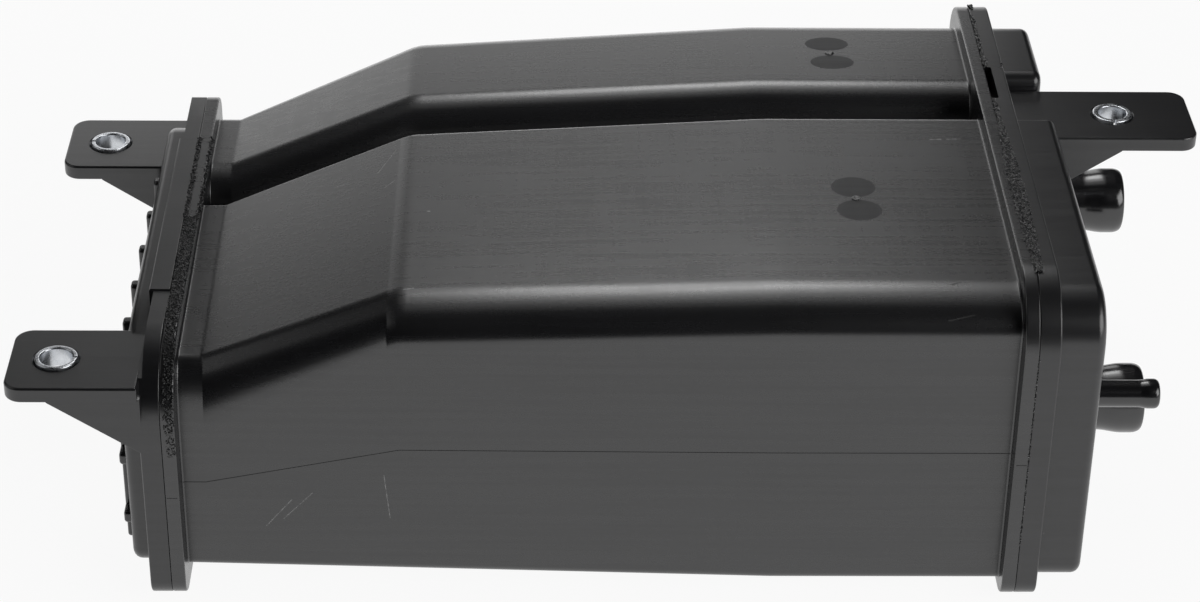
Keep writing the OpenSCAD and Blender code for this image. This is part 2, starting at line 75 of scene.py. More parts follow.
# Values of the visible mouldings alone: smooth bends, small roundings, seats of the tabs, and an end whose top
# leans down toward its front, where the source has one larger corner; an oval is a pair of a depth and a drop
END_FRONT_CORNER, END_LEAN = 22.0, 4.0
END_FRONT_OVAL, FRONT_OVAL, CAP_FRONT_OVAL = (9.0, 22.0), (16.0, 10.0), (40.0, 12.0)
CREASE_SOFTNESS, STEP_SOFTNESS = 2.5, 0.5
FLANGE_EDGE, WELD_EDGE, FOOT_FLARE = 0.55, 0.35, 0.6
END_BLOCK_EDGE, PORT_BLOCK_EDGE, TAB_EDGE, RIB_EDGE = 2.6, 2.6, 0.7, 0.9
RIB_CORNER, GUSSET_EDGE, SLEEVE_EDGE, CORE_CORNER, SHARPEST = 1.2, 0.45, 0.45, 0.6, 0.05
TAB_ROOT_CORNER, END_TAB_SINK, SLEEVE_ROOM, HOLE_CHAMFER = 0.8, 0.3, 0.25, 0.5
RELIEF_BACK, RELIEF_CORNER, SEAT_DEPTH, SEAT_ROOM = 8.5, 0.5, 0.45, 0.2
ROOT_FRONT, ROOT_INSET, ROOT_RISE, ROOT_DROP, ROOT_CORNER = 8.5, 0.2, 0.5, 0.02, 0.1
SLOT_START, SLOT_END, SLOT_FRONT, SLOT_BACK, SLOT_DEPTH, SLOT_CORNER = -0.1, 2.1, 116.4, 136.6, 7.0, 0.6
NECK_FOOT, NECK_LIP, BEAD_ROUND, BEAD_SETBACK, BEAD_DROP = 1.2, 0.6, 1.5, 0.8, 1.1
CORNER_STEPS, EDGE_STEPS, BEND_STEPS = 10, 5, 6
SMOOTH_ANGLE, GRAIN_ANGLE, NORMAL_WEIGHT = 35.0, 60.0, 60

# Places along the canister
BODY_START = END_WELD + BODY_FLANGE
BODY_END = PORT_WELD - BODY_FLANGE
RAMP_START = BODY_START + STEP_LENGTH
CREASE = RAMP_START + RAMP_LENGTH
DRAFT_END = CREASE + DRAFT_LENGTH
END_FACE = END_WELD - COVER_FLANGE - END_BLOCK
PORT_FACE = PORT_WELD + COVER_FLANGE + PORT_BLOCK
END_SLEEVE_X = END_WELD - END_SLEEVE_REACH
PORT_SLEEVE_X = PORT_WELD + PORT_SLEEVE_REACH
END_TIP = END_SLEEVE_X - END_TAB_LIP
PORT_TIP = PORT_SLEEVE_X + PORT_TAB_LIP
MIDDLE = Vector(((END_TIP + PORT_TIP) / 2, max(END_DEPTH, PORT_DEPTH) / 2, 0.0))
END_TAB_TOP = END_HEIGHT - TAB_DROP
PORT_TAB_TOP = PORT_HEIGHT - TAB_DROP
FRONT_TAB_Y, REAR_TAB_Y = TAB_WIDTH / 2, END_DEPTH - TAB_WIDTH / 2
PORT_TAB_Y = PORT_DEPTH - PORT_TAB_BACK

END_FLANGE_BOX = (0.0, END_DEPTH, 0.0, END_HEIGHT)
PORT_FLANGE_BOX = (0.0, PORT_DEPTH, 0.0, PORT_HEIGHT)
END_FLANGE_RADII = (END_BACK_CORNER, END_FRONT_CORNER, FLANGE_LOW_CORNER, FLANGE_LOW_CORNER)
PORT_FLANGE_RADII = (PORT_BACK_CORNER, PORT_FRONT_CORNER, FLANGE_LOW_CORNER, FLANGE_LOW_CORNER)


def metres(point):
    """Design-frame millimetres to row-frame metres."""
    return (Vector(point) - MIDDLE) / 1000


def mix(a, b, t):
    return a + (b - a) * t


def clamp(t):
    return min(1.0, max(0.0, t))


# Walls of the two chambers along the canister
def rise(x):
    """Share of the ramp that lies before x."""
    return clamp((x - RAMP_START) / RAMP_LENGTH)


def sharp_growth(x):
    if x <= CREASE:
        return CREASE_SHARE * rise(x)
    return mix(CREASE_SHARE, 1.0, clamp((x - CREASE) / DRAFT_LENGTH))


def growth(x):
    """Share of the top's and back's growth, averaged over a short stretch so that the bends are rounded."""
    reach = STEP_SOFTNESS if x < (RAMP_START + CREASE) / 2 else CREASE_SOFTNESS
    samples = 17
    return sum(sharp_growth(x + reach * (2 * i / (samples - 1) - 1)) for i in range(samples)) / samples


def draft(x):
    return clamp((x - BODY_START) / (DRAFT_END - BODY_START))


def front_y(x):
    return mix(END_FRONT, PORT_FRONT, draft(x))


def low_z(x):
    return mix(END_FOOT, PORT_FOOT, draft(x))


def top_z(x):
    return mix(END_HEIGHT, PORT_HEIGHT, growth(x)) - FLANGE_RIM


def back_y(x):
    return mix(END_DEPTH, PORT_DEPTH, growth(x)) - FLANGE_RIM


def vent_y(x):
    return back_y(x) - mix(VENT_END, VENT_PORT, growth(x))


def main_y(x):
    return vent_y(x) - GROOVE


def main_box(x):
    return (front_y(x), main_y(x), low_z(x), top_z(x))


def vent_box(x):
    return (vent_y(x), back_y(x), low_z(x), top_z(x))


def main_radii(x):
    oval = tuple(mix(a, b, rise(x)) for a, b in zip(END_FRONT_OVAL, FRONT_OVAL))
    return (TOP_EDGE, oval, LOW_RADIUS, LOW_RADIUS)


def main_lean(x):
    return END_LEAN * (1 - rise(x))


def no_lean(x):
    return 0.0


def vent_radii(x):
    return (mix(END_BACK_RADIUS, BACK_RADIUS, rise(x)), SHOULDER_RADIUS, LOW_RADIUS, LOW_RADIUS)


# Solids from rings of points
def quarter(steps):
    return [math.pi / 2 * i / steps for i in range(steps + 1)]


def turned(axis, u, v, w):
    """A point whose third coordinate runs along the given axis."""
    return ((w, u, v), (v, w, u), (u, v, w))[axis]


def ring(axis, w, box, radii, inset=0.0, lean=0.0):
    """Rounded rectangle across an axis.

    Radii go round from the corner that is high in both directions, and a pair makes an oval corner. A lean lowers
    the top by that much at the low end of the first direction.
    """
    u0, u1, v0, v1 = box[0] + inset, box[1] - inset, box[2] + inset, box[3] - inset
    pairs = [radius if isinstance(radius, tuple) else (radius, radius) for radius in radii]
    r = [[max(part - inset, SHARPEST) for part in pair] for pair in pairs]
    centres = (
        (u1 - r[0][0], v1 - r[0][1]), (u0 + r[1][0], v1 - r[1][1]),
        (u0 + r[2][0], v0 + r[2][1]), (u1 - r[3][0], v0 + r[3][1]))
    points = []
    for k, (cu, cv) in enumerate(centres):
        for a in quarter(CORNER_STEPS):
            b = a + k * math.pi / 2
            u, v = cu + r[k][0] * math.cos(b), cv + r[k][1] * math.sin(b)
            v -= lean * (u1 - u) / (u1 - u0) * (v - v0) / (v1 - v0)
            points.append(turned(axis, u, v, w))
    return points


def placed(name, data):
    """New object in the scene's collection."""
    obj = bpy.data.objects.new(name, data)
    bpy.context.scene.collection.objects.link(obj)
    return obj


def discard(obj):
    """Removes an object and its mesh."""
    mesh = obj.data
    bpy.data.objects.remove(obj)
    bpy.data.meshes.remove(mesh)


def shade(obj, smooth_angle=SMOOTH_ANGLE):
    obj.data.shade_smooth()
    obj.data.set_sharp_from_angle(angle=math.radians(smooth_angle))


def mesh_object(name, points, faces):
    """Object from points in millimetres, with its faces turned outward."""
    mesh = bpy.data.meshes.new(name)
    mesh.from_pydata([metres(p) for p in points], [], faces)
    bm = bmesh.new()
    bm.from_mesh(mesh)
    bmesh.ops.recalc_face_normals(bm, faces=bm.faces)
    bm.to_mesh(mesh)
    bm.free()
    obj = placed(name, mesh)
    shade(obj)
    return obj


def loft(name, rings, closed=False):
    """Skin through rings of points, with both ends capped unless the rings close on themselves."""
    n, count = len(rings[0]), len(rings)
    faces = []
    for i in range(count if closed else count - 1):
        for j in range(n):
            a, b = i * n, (i + 1) % count * n
            k = (j + 1) % n
            faces.append((a + j, a + k, b + k, b + j))
    if not closed:
        faces.append(tuple(range(n - 1, -1, -1)))
        faces.append(tuple(range((count - 1) * n, count * n)))
    return mesh_object(name, [p for r in rings for p in r], faces)


def end_profile(edge):
    """Distances along and insets across for one end of a slab.

    A positive edge is rounded over, a negative one flares out into its neighbour.
    """
    if not edge:
        return [(0.0, 0.0)]
    return [(abs(edge) * (1 - math.cos(a)), edge * (1 - math.sin(a))) for a in quarter(EDGE_STEPS)]


def slab(name, axis, start, end, box, radii, first=0.0, last=0.0, lean=0.0):
    """Rounded rectangle extruded along an axis, with its two rims rounded or flared."""
    places = [(start + d, i) for d, i in end_profile(first)]
    places += [(end - d, i) for d, i in reversed(end_profile(last))]
    return loft(name, [ring(axis, w, box, radii, i, lean) for w, i in places])


def bends(start, end):
    """Places of a chamber's rings: close together round each bend, and the two ends."""
    places = {start, end}
    for centre, reach in ((RAMP_START, STEP_SOFTNESS), (CREASE, CREASE_SOFTNESS), (DRAFT_END, CREASE_SOFTNESS)):
        places.update(centre + reach * i / BEND_STEPS for i in range(-BEND_STEPS - 1, BEND_STEPS + 2))
    return sorted(x for x in places if start <= x <= end)


def chamber(name, box_at, radii_at, lean_at, start, end, inset=0.0, flared=False):
    """Closed skin of one chamber; a flare rounds it into both flanges."""
    inner = bends(BODY_START + FOOT_FLARE, BODY_END - FOOT_FLARE) if flared else bends(start, end)
    places = [(x, inset) for x in inner]
    if flared:
        profile = end_profile(-FOOT_FLARE)[:-1]
        places = (
            [(start, -FOOT_FLARE)] + [(BODY_START + d, i) for d, i in profile] + places
            + [(BODY_END - d, i) for d, i in reversed(profile)] + [(end, -FOOT_FLARE)])
    return loft(name, [ring(0, x, box_at(x), radii_at(x), i, lean_at(x)) for x, i in places])


def prism(name, axis, start, end, outline, edge):
    """Polygon extruded along an axis, with all its edges rounded."""
    n = len(outline)
    points = [turned(axis, u, v, w) for w in (start, end) for u, v in outline]
    faces = [tuple(range(n - 1, -1, -1)), tuple(range(n, 2 * n))]
    faces += [(j, (j + 1) % n, n + (j + 1) % n, n + j) for j in range(n)]
    obj = mesh_object(name, points, faces)
    bm = bmesh.new()
    bm.from_mesh(obj.data)
    bmesh.ops.bevel(bm, geom=bm.edges[:], offset=edge / 1000, segments=2, profile=0.5, affect="EDGES")
    bm.to_mesh(obj.data)
    bm.free()
    shade(obj)
    return obj


def full_turn(steps):
    return [2 * math.pi * i / steps for i in range(steps)]


def on_circle(axis, centre, radius, w, angle):
    """Point of a circle round an axis, at a distance w along it."""
    return turned(axis, centre[0] + radius * math.cos(angle), centre[1] + radius * math.sin(angle), w)


def revolve(name, axis, outline, centre, steps):
    """Tube turned from a closed outline of distances along an axis and radii."""
    rings = [[on_circle(axis, centre, r, w, a) for w, r in outline] for a in full_turn(steps)]
    return loft(name, rings, closed=True)


def round_solid(name, axis, outline, centre, steps=72):
    """Solid turned from an open outline of distances along an axis and radii."""
    return loft(name, [[on_circle(axis, centre, r, w, a) for a in full_turn(steps)] for w, r in outline])


def combine(base, others, operation):
    """Joins other solids to the base, or cuts them from it."""
    for other in others:
        step = base.modifiers.new("step", "BOOLEAN")
        step.operation, step.solver, step.object = operation, "EXACT", other
    graph = bpy.context.evaluated_depsgraph_get()
    mesh = bpy.data.meshes.new_from_object(base.evaluated_get(graph))
    base.modifiers.clear()
    old, base.data = base.data, mesh
    bpy.data.meshes.remove(old)
    for other in others:
        discard(other)
    return base


def merge(name, parts):
    """One object that holds several meshes."""
    bm = bmesh.new()
    for part in parts:
        bm.from_mesh(part.data)
        discard(part)
    mesh = bpy.data.meshes.new(name)
    bm.to_mesh(mesh)
    bm.free()
    return placed(name, mesh)


def finished(obj, material, nodes=(), smooth_angle=SMOOTH_ANGLE):
    """Shades a piece, gives it its material and seats it on the body."""
    shade(obj, smooth_angle)
    normals = obj.modifiers.new("even_normals", "WEIGHTED_NORMAL")
    normals.keep_sharp, normals.weight = True, NORMAL_WEIGHT
    obj.data.materials.clear()
    obj.data.materials.append(material)
    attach(obj, "root")
    if nodes:
        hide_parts(*nodes)


def leaned(y, z):
    """Height on the end flange after its lean."""
    return z - END_LEAN * (1 - y / END_DEPTH) * z / END_HEIGHT


def drawn_in(box, d):
    return (box[0] + d, box[1] - d, box[2] + d, box[3] - d)


# Mouldings
def body_moulding():
    start, end = END_WELD + SINK, PORT_WELD - SINK
    main = chamber("moulded_body", main_box, main_radii, main_lean, start, end, flared=True)
    vent = chamber("vent", vent_box, vent_radii, no_lean, start, end, flared=True)
    web_rings = []
    for x in bends(start, end):
        y0, y1 = main_y(x) - SINK, vent_y(x) + SINK
        web_rings.append([(x, y1, WEB_HEIGHT), (x, y0, WEB_HEIGHT), (x, y0, WEB_HEIGHT - WALL),
                          (x, y1, WEB_HEIGHT - WALL)])
    web = loft("web", web_rings)
    flanges = [
        slab("flange", 0, END_WELD, BODY_START, END_FLANGE_BOX, END_FLANGE_RADII, WELD_EDGE, FLANGE_EDGE, END_LEAN),
        slab("flange", 0, BODY_END, PORT_WELD, PORT_FLANGE_BOX, PORT_FLANGE_RADII, FLANGE_EDGE, WELD_EDGE)]
    combine(main, [vent, web] + flanges, "UNION")
    cores = [
        chamber("core", *at, END_WELD - SINK, PORT_WELD + SINK, inset=WALL)
        for at in ((main_box, main_radii, main_lean), (vent_box, vent_radii, no_lean))]
    return combine(main, cores, "DIFFERENCE")


def tab_parts(side, root, sleeve_x, tip, y, top, sink=SINK):
    """Plate and two gussets of a tab that points to one side and sinks a little into its flange."""
    low, high = sorted((root - side * sink, tip))
    front, back = y - TAB_WIDTH / 2, y + TAB_WIDTH / 2
    outer, inner = TAB_CORNER, min(TAB_ROOT_CORNER, sink)
    radii = (outer, inner, inner, outer) if side > 0 else (inner, outer, outer, inner)
    under = top - TAB_THICKNESS
    parts = [slab("tab", 2, under, top, (low, high, front, back), radii, TAB_EDGE, TAB_EDGE)]
    length = abs(sleeve_x - root) + GUSSET_LEAD
    drop = length * GUSSET_SLOPE
    outline = [(-SINK, SINK), (length, SINK), (length, 0.0), (0.0, -drop), (-SINK, -drop)]
    section = [(under + dz, root + side * dx) for dx, dz in outline]
    for edge in (front, back - GUSSET_THICKNESS):
        parts.append(prism("gusset", 1, edge, edge + GUSSET_THICKNESS, section, GUSSET_EDGE))
    return parts


def sleeve_hole(x, y, top):
    """Cutter of a tab's hole, chamfered at both faces."""
    r, under = SLEEVE_OD / 2 + SLEEVE_ROOM, top - TAB_THICKNESS
    wide = r + HOLE_CHAMFER + SINK
    outline = [(under - SINK, wide), (under + HOLE_CHAMFER, r), (top - HOLE_CHAMFER, r), (top + SINK, wide)]
    return round_solid("hole", 2, outline, (x, y))


def spread(low, high, pitch):
    """As many places as fit at a pitch, centred between two ends."""
    count = math.floor((high - low) / pitch)
    return [(low + high) / 2 + (i - count / 2) * pitch for i in range(count + 1)]


def end_moulding():
    flange_face, above = END_WELD - COVER_FLANGE, END_HEIGHT + SINK
    cover = slab("end_moulding", 0, flange_face, END_WELD, END_FLANGE_BOX, END_FLANGE_RADII, FLANGE_EDGE,
                 WELD_EDGE, END_LEAN)
    spans = ((0.0, TAB_WIDTH + RELIEF_BACK), (END_DEPTH - TAB_WIDTH, END_DEPTH))
    reliefs = [
        slab("relief", 0, flange_face - SINK, flange_face + TAB_RELIEF, (front, back, END_TAB_TOP, above),
             (RELIEF_CORNER,) * 4) for front, back in spans]
    seats = [
        slab("seat", 0, flange_face - SINK, END_WELD + SINK,
             (front - SEAT_ROOM, back + SEAT_ROOM, leaned(back, END_HEIGHT) - SEAT_DEPTH, above), (SHARPEST,) * 4)
        for front, back in spans]
    combine(cover, reliefs + seats, "DIFFERENCE")
    cap = (END_FRONT, END_DEPTH - FLANGE_RIM, END_FOOT, END_HEIGHT - FLANGE_RIM)
    cap_radii = (CAP_RADIUS, CAP_FRONT_OVAL, BLOCK_LOW_RADIUS, BLOCK_LOW_RADIUS)
    parts = [slab("block", 0, END_FACE, END_WELD - SINK, cap, cap_radii, END_BLOCK_EDGE, 0.0, END_LEAN)]
    area = drawn_in((cap[0], cap[1], cap[2], cap[3] - END_LEAN / 2), RIB_MARGIN)
    middles = drawn_in(area, RIB_WIDTH)
    half, tip = RIB_WIDTH / 2, END_FACE - RIB_HEIGHT
    ribs = [(y - half, y + half, area[2], area[3]) for y in spread(middles[0], middles[1], RIB_PITCH)]
    ribs += [(area[0], area[1], z - half, z + half) for z in spread(middles[2], middles[3], RIB_PITCH)]
    parts += [slab("rib", 0, tip, END_FACE + SINK, box, (RIB_CORNER,) * 4, RIB_EDGE) for box in ribs]
    root_low, root_high = END_TAB_TOP - TAB_THICKNESS + ROOT_RISE, END_TAB_TOP - ROOT_DROP
    for y, front in ((FRONT_TAB_Y, ROOT_FRONT), (REAR_TAB_Y, REAR_TAB_Y - TAB_WIDTH / 2 + ROOT_INSET)):
        parts += tab_parts(-1, flange_face, END_SLEEVE_X, END_TIP, y, END_TAB_TOP, sink=END_TAB_SINK)
        root = (flange_face - SINK, flange_face + TAB_RELIEF + SINK, front, y + TAB_WIDTH / 2 - ROOT_INSET)
        parts.append(slab("root", 2, root_low, root_high, root, (ROOT_CORNER,) * 4))
    combine(cover, parts, "UNION")
    core_oval = tuple(r - WALL for r in CAP_FRONT_OVAL)
    core_radii = (CAP_RADIUS - WALL, core_oval, BLOCK_LOW_RADIUS - WALL, BLOCK_LOW_RADIUS - WALL)
    core = slab("core", 0, END_FACE + WALL, END_WELD + SINK, drawn_in(cap, WALL), core_radii, lean=END_LEAN)
    holes = [sleeve_hole(END_SLEEVE_X, y, END_TAB_TOP) for y in (FRONT_TAB_Y, REAR_TAB_Y)]
    return combine(cover, [core] + holes, "DIFFERENCE")


def port_moulding():
    flange_face = PORT_WELD + COVER_FLANGE
    cover = slab("port_moulding", 0, PORT_WELD, flange_face, PORT_FLANGE_BOX, PORT_FLANGE_RADII, WELD_EDGE,
                 FLANGE_EDGE)
    low_radii = (BLOCK_LOW_RADIUS, BLOCK_LOW_RADIUS)
    vent = (PORT_TAB_Y + TAB_WIDTH / 2, back_y(PORT_WELD), PORT_FOOT, PORT_HEIGHT - FLANGE_RIM)
    blocks = (
        (main_box(PORT_WELD), (TOP_EDGE, FRONT_RADIUS) + low_radii),
        (vent, (BACK_RADIUS, BLOCK_SHOULDER) + low_radii))
    parts = [
        slab("block", 0, PORT_WELD + SINK, PORT_FACE, box, radii, 0.0, PORT_BLOCK_EDGE) for box, radii in blocks]
    parts += tab_parts(1, flange_face, PORT_SLEEVE_X, PORT_TIP, PORT_TAB_Y, PORT_TAB_TOP)
    combine(cover, parts, "UNION")
    inside = PORT_FACE - WALL
    cuts = [
        slab("core", 0, PORT_WELD - SINK, inside, drawn_in(box, WALL), [max(r - WALL, CORE_CORNER) for r in radii])
        for box, radii in blocks]
    for port, bore in ((TANK, LARGE_BORE), (VENT, LARGE_BORE), (PURGE, SMALL_BORE)):
        outline = [(inside - SINK, bore / 2), (PORT_FACE + SINK, bore / 2)]
        cuts.append(round_solid("bore", 0, outline, (port["y"], port["z"])))
    cuts.append(sleeve_hole(PORT_SLEEVE_X, PORT_TAB_Y, PORT_TAB_TOP))
    slot = (PORT_WELD + SLOT_START, PORT_WELD + SLOT_END, SLOT_FRONT, SLOT_BACK)
    cuts.append(slab("slot", 2, PORT_HEIGHT - SLOT_DEPTH, PORT_HEIGHT + SINK, slot, (SLOT_CORNER,) * 4))
    return combine(cover, cuts, "DIFFERENCE")


# Ports and sleeves
def fillet(radius, steps):
    """Quarter circle as distances along and out from where it ends."""
    return [(radius * (1 - math.cos(a)), radius * (1 - math.sin(a))) for a in quarter(steps)]


def swell(t):
    """Smooth rise from 0 to 1."""
    return (1 - math.cos(math.pi * t)) / 2


def port_neck(name, port, neck, bore, tip_outline):
    """Tube with a flared foot; the tip's outline is given as distances back from the tip and radii."""
    tip, base = PORT_FACE + port["length"], PORT_FACE
    outline = [(base, neck / 2 + NECK_FOOT)]
    outline += [(base + d, neck / 2 + r) for d, r in fillet(NECK_FOOT, 6)[1:]]
    outline += [(tip - d, r) for d, r in tip_outline]
    outline += [(tip - d, bore / 2 + r) for d, r in fillet(NECK_LIP, 5)]
    outline.append((base, bore / 2))
    return revolve(name, 0, outline, (port["y"], port["z"]), steps=96)


def flare_tip():
    """Neck that widens slowly to a flare with a rounded rim."""
    steps = 16
    points = []
    for t in (i / steps for i in range(steps + 1)):
        back = FLARE_RISE * (1 - t) + FLARE_LAND + FLARE_ROUND
        points.append((back, mix(LARGE_NECK, LARGE_FLARE, swell(t)) / 2))
    for a in quarter(10):
        points.append((FLARE_ROUND * (1 - math.sin(a)), LARGE_FLARE / 2 - FLARE_DROP * (1 - math.cos(a))))
    return points


def bead_tip():
    """Neck with a short bead and a rounded rim."""
    neck, bead = SMALL_NECK / 2, SMALL_BEAD / 2
    points = []
    for t in (0.0, 0.15, 0.35, 0.5, 0.65, 0.85, 1.0):
        points.append((BEAD_LENGTH + BEAD_SETBACK - 2 * BEAD_ROUND * t, mix(neck, bead, swell(t))))
    for a in quarter(6):
        points.append((BEAD_ROUND * (1 - math.sin(a)), bead - BEAD_DROP * (1 - math.cos(a))))
    return points


def rolled_sleeve(name, x, y, top, bore, slit_angle):
    """Strip of steel rolled into a ring, with rounded rims and an open slit."""
    inner, outer = bore / 2, SLEEVE_OD / 2
    middle = top - TAB_THICKNESS / 2
    half = SLEEVE_LENGTH / 2
    section = ring(2, 0.0, (inner, outer, middle - half, middle + half), (SLEEVE_EDGE,) * 4)
    half_gap = math.asin(SLEEVE_SLIT / 2 / outer)
    steps = 80
    rings = []
    for i in range(steps + 1):
        a = math.radians(slit_angle) + half_gap + (2 * math.pi - 2 * half_gap) * i / steps
        rings.append([(x + r * math.cos(a), y + r * math.sin(a), z) for r, z, _ in section])
    return loft(name, rings)


# Weld flash, mould marks and other small raised details
FLASH_SPLIT, FLASH_BACK, FLASH_LOW = 78.0, 124.0, 52.0
CORNER_GRAINS, GRAIN_STRETCH, GRAIN_RAGGED = 420, (0.45, 1.35), (0.75, 1.3)
BEAD_SPAN, BEAD_REACH, THIN_RUNS = (16.0, 104.0), 2.0, ((104.0, 116.0), (137.0, 172.0))
LUMP_YS, LUMP_GRAINS = (110.0, 139.0, 141.5, 178.0), 9
SEAM_SPAN = (20.0, 82.0)
PARTING_END, PARTING_PORT = 36.3, 47.6
RIDGE_BASE, RIDGE_TIP = 0.3, 0.1
# Rise and radius round the outline of a gate's stub
GATE_DOT = ((-0.4, 1.5), (0.1, 1.45), (0.28, 1.2), (0.34, 0.8), (0.25, 0.5), (0.2, 0.15))
# Centre and half widths of each dull oval, and share of them and rise from its foot to its flat
GATE_OVALS = [(74.0, 163.4, 6.75, 4.5), (74.8, 151.0, 6.75, 4.5), (74.7, 72.4, 6.4, 5.8), (75.4, 59.2, 6.4, 5.8)]
OVAL_RIMS = ((1.0, -0.06), (1.0, 0.015), (0.985, 0.03), (0.5, 0.03))


def grain_form():
    """Points and faces of a twenty-sided grain."""
    bm = bmesh.new()
    bmesh.ops.create_icosphere(bm, subdivisions=1, radius=1.0)
    points = [vert.co.copy() for vert in bm.verts]
    faces = [tuple(vert.index for vert in face.verts) for face in bm.faces]
    bm.free()
    return points, faces


def lumps(name, spots, seed):
    """Many small irregular grains; each spot gives a place, a size and how far it may stray along each axis."""
    rng = random.Random(seed)
    form, form_faces = grain_form()
    points, faces = [], []
    for place, size, stray in spots:
        centre = Vector([place[k] + rng.uniform(-stray[k], stray[k]) for k in range(3)])
        shape = Matrix.Diagonal([size * rng.uniform(*GRAIN_STRETCH) for _ in range(3)])
        turn = rng.uniform(0, math.tau)
        spin = Matrix.Rotation(turn, 3, Vector([rng.uniform(-1, 1) for _ in range(3)]).normalized())
        faces += [tuple(len(points) + i for i in face) for face in form_faces]
        points += [centre + (spin @ shape @ p) * rng.uniform(*GRAIN_RAGGED) for p in form]
    return mesh_object(name, points, faces)


def along(start, end, pitch):
    """Points at an even pitch between two ends."""
    count = max(1, round(math.dist(start, end) / pitch))
    return [tuple(mix(start[k], end[k], i / count) for k in range(3)) for i in range(count + 1)]


def run(start, end, pitch, size, stray):
    """Spots of grains along a line."""
    return [(p, size, stray) for p in along(start, end, pitch)]


def end_flash():
    """Black grains over the body's end flange: two strips at the back, one wide band to the front and down it."""
    top, corner = END_HEIGHT, END_FRONT_CORNER
    spots = []
    for x, drop, front, back, pitch, size, stray in (
            (END_WELD + 0.4, 0.0, FLASH_SPLIT, FLASH_BACK, 0.14, 0.34, (0.6, 0.3, 0.1)),
            (BODY_START - 0.1, 0.4, FLASH_SPLIT, FLASH_BACK, 0.12, 0.34, (0.6, 0.3, 0.5)),
            (END_WELD + 2.1, 0.05, corner, FLASH_SPLIT, 0.05, 0.33, (1.9, 0.3, 0.12))):
        spots += run((x, front, top - drop), (x, back, top - drop), pitch, size, stray)
    for i in range(CORNER_GRAINS):
        a = math.radians(90 * i / CORNER_GRAINS)
        y, z = corner * (1 - math.sin(a)), top - corner * (1 - math.cos(a))
        spots.append(((END_WELD + 2.4, y, z), 0.31, (1.5, 0.25, 0.25)))
    x, y = END_WELD + 2.6, 0.05
    spots += run((x, y, top - corner), (x, y, FLASH_LOW), 0.12, 0.3, (1.2, 0.12, 0.3))
    spots = [((x, y, leaned(y, z)), size, stray) for (x, y, z), size, stray in spots]
    return lumps("end_flash", spots, 11)


def port_flash():
    """Grains on the port weld: a pale bead, widest halfway along the top, with thin runs and a few lumps."""
    top, x = PORT_HEIGHT, PORT_WELD + 0.5
    spots = []
    for p in along((x, BEAD_SPAN[0], top), (x, BEAD_SPAN[1], top), 0.045):
        middle = math.sin(math.pi * clamp((p[1] - 6) / 100))
        reach = BEAD_REACH * middle ** 0.7 + 0.2
        spots.append((p, 0.3, (reach, 0.3, 0.12)))
    for front, back in THIN_RUNS:
        spots += run((x, front, top), (x, back, top), 0.16, 0.34, (0.55, 0.3, 0.14))
    for y in LUMP_YS:
        spots += [((PORT_WELD + 0.6, y, top), 0.55, (0.8, 1.2, 0.2))] * LUMP_GRAINS
    spots += [((PORT_WELD + 5.2, 137.5, top), 0.4, (0.5, 1.5, 0.1))] * 7
    spots += run((PORT_WELD, 0.05, SEAM_SPAN[0]), (PORT_WELD, 0.05, SEAM_SPAN[1]), 0.5, 0.22, (0.2, 0.12, 0.4))
    return lumps("port_flash", spots, 23)


def ridge_section(x, y, z, proud):
    """Section of the parting ridge: wide where it is buried, narrow where it stands proud."""
    return [
        (x, y + RIDGE_BASE, z + RIDGE_BASE), (x, y - proud, z + RIDGE_TIP),
        (x, y - proud, z - RIDGE_TIP), (x, y + RIDGE_BASE, z - RIDGE_BASE)]


def parting_ridge():
    """Fine ridge where the mould's halves met, across the front and over both flanges' front edges."""
    parts = [loft("ridge", [
        ridge_section(x, front_y(x), mix(PARTING_END, PARTING_PORT, rise(x)), 0.14)
        for x in bends(BODY_START - 0.5, BODY_END + 0.5)])]
    for x0, x1, z in ((END_WELD + 0.4, BODY_START - 0.7, 35.6), (BODY_END + 0.7, PORT_WELD - 0.4, 47.3)):
        parts.append(loft("ridge", [ridge_section(x, 0.0, z, 0.12) for x in (x0, x1)]))
    return merge("parting_ridge", parts)


def gate_dot(name, x, y, z):
    """Small domed stub that the mould's gate leaves."""
    return round_solid(name, 2, [(z + d, r) for d, r in GATE_DOT], (x, y), steps=40)


def gate_ovals():
    """Dull ovals beside the gates: thin raised discs that follow the slope of the top."""
    parts = []
    for x, y, half_x, half_y in GATE_OVALS:
        rings = []
        for share, proud in OVAL_RIMS:
            spots = [(x + share * half_x * math.cos(a), y + share * half_y * math.sin(a)) for a in full_turn(48)]
            rings.append([(px, py, top_z(px) + proud) for px, py in spots])
        parts.append(loft("oval", rings))
    return merge("gate_ovals", parts)


# Materials
def grey(level):
    return (level, level, level)


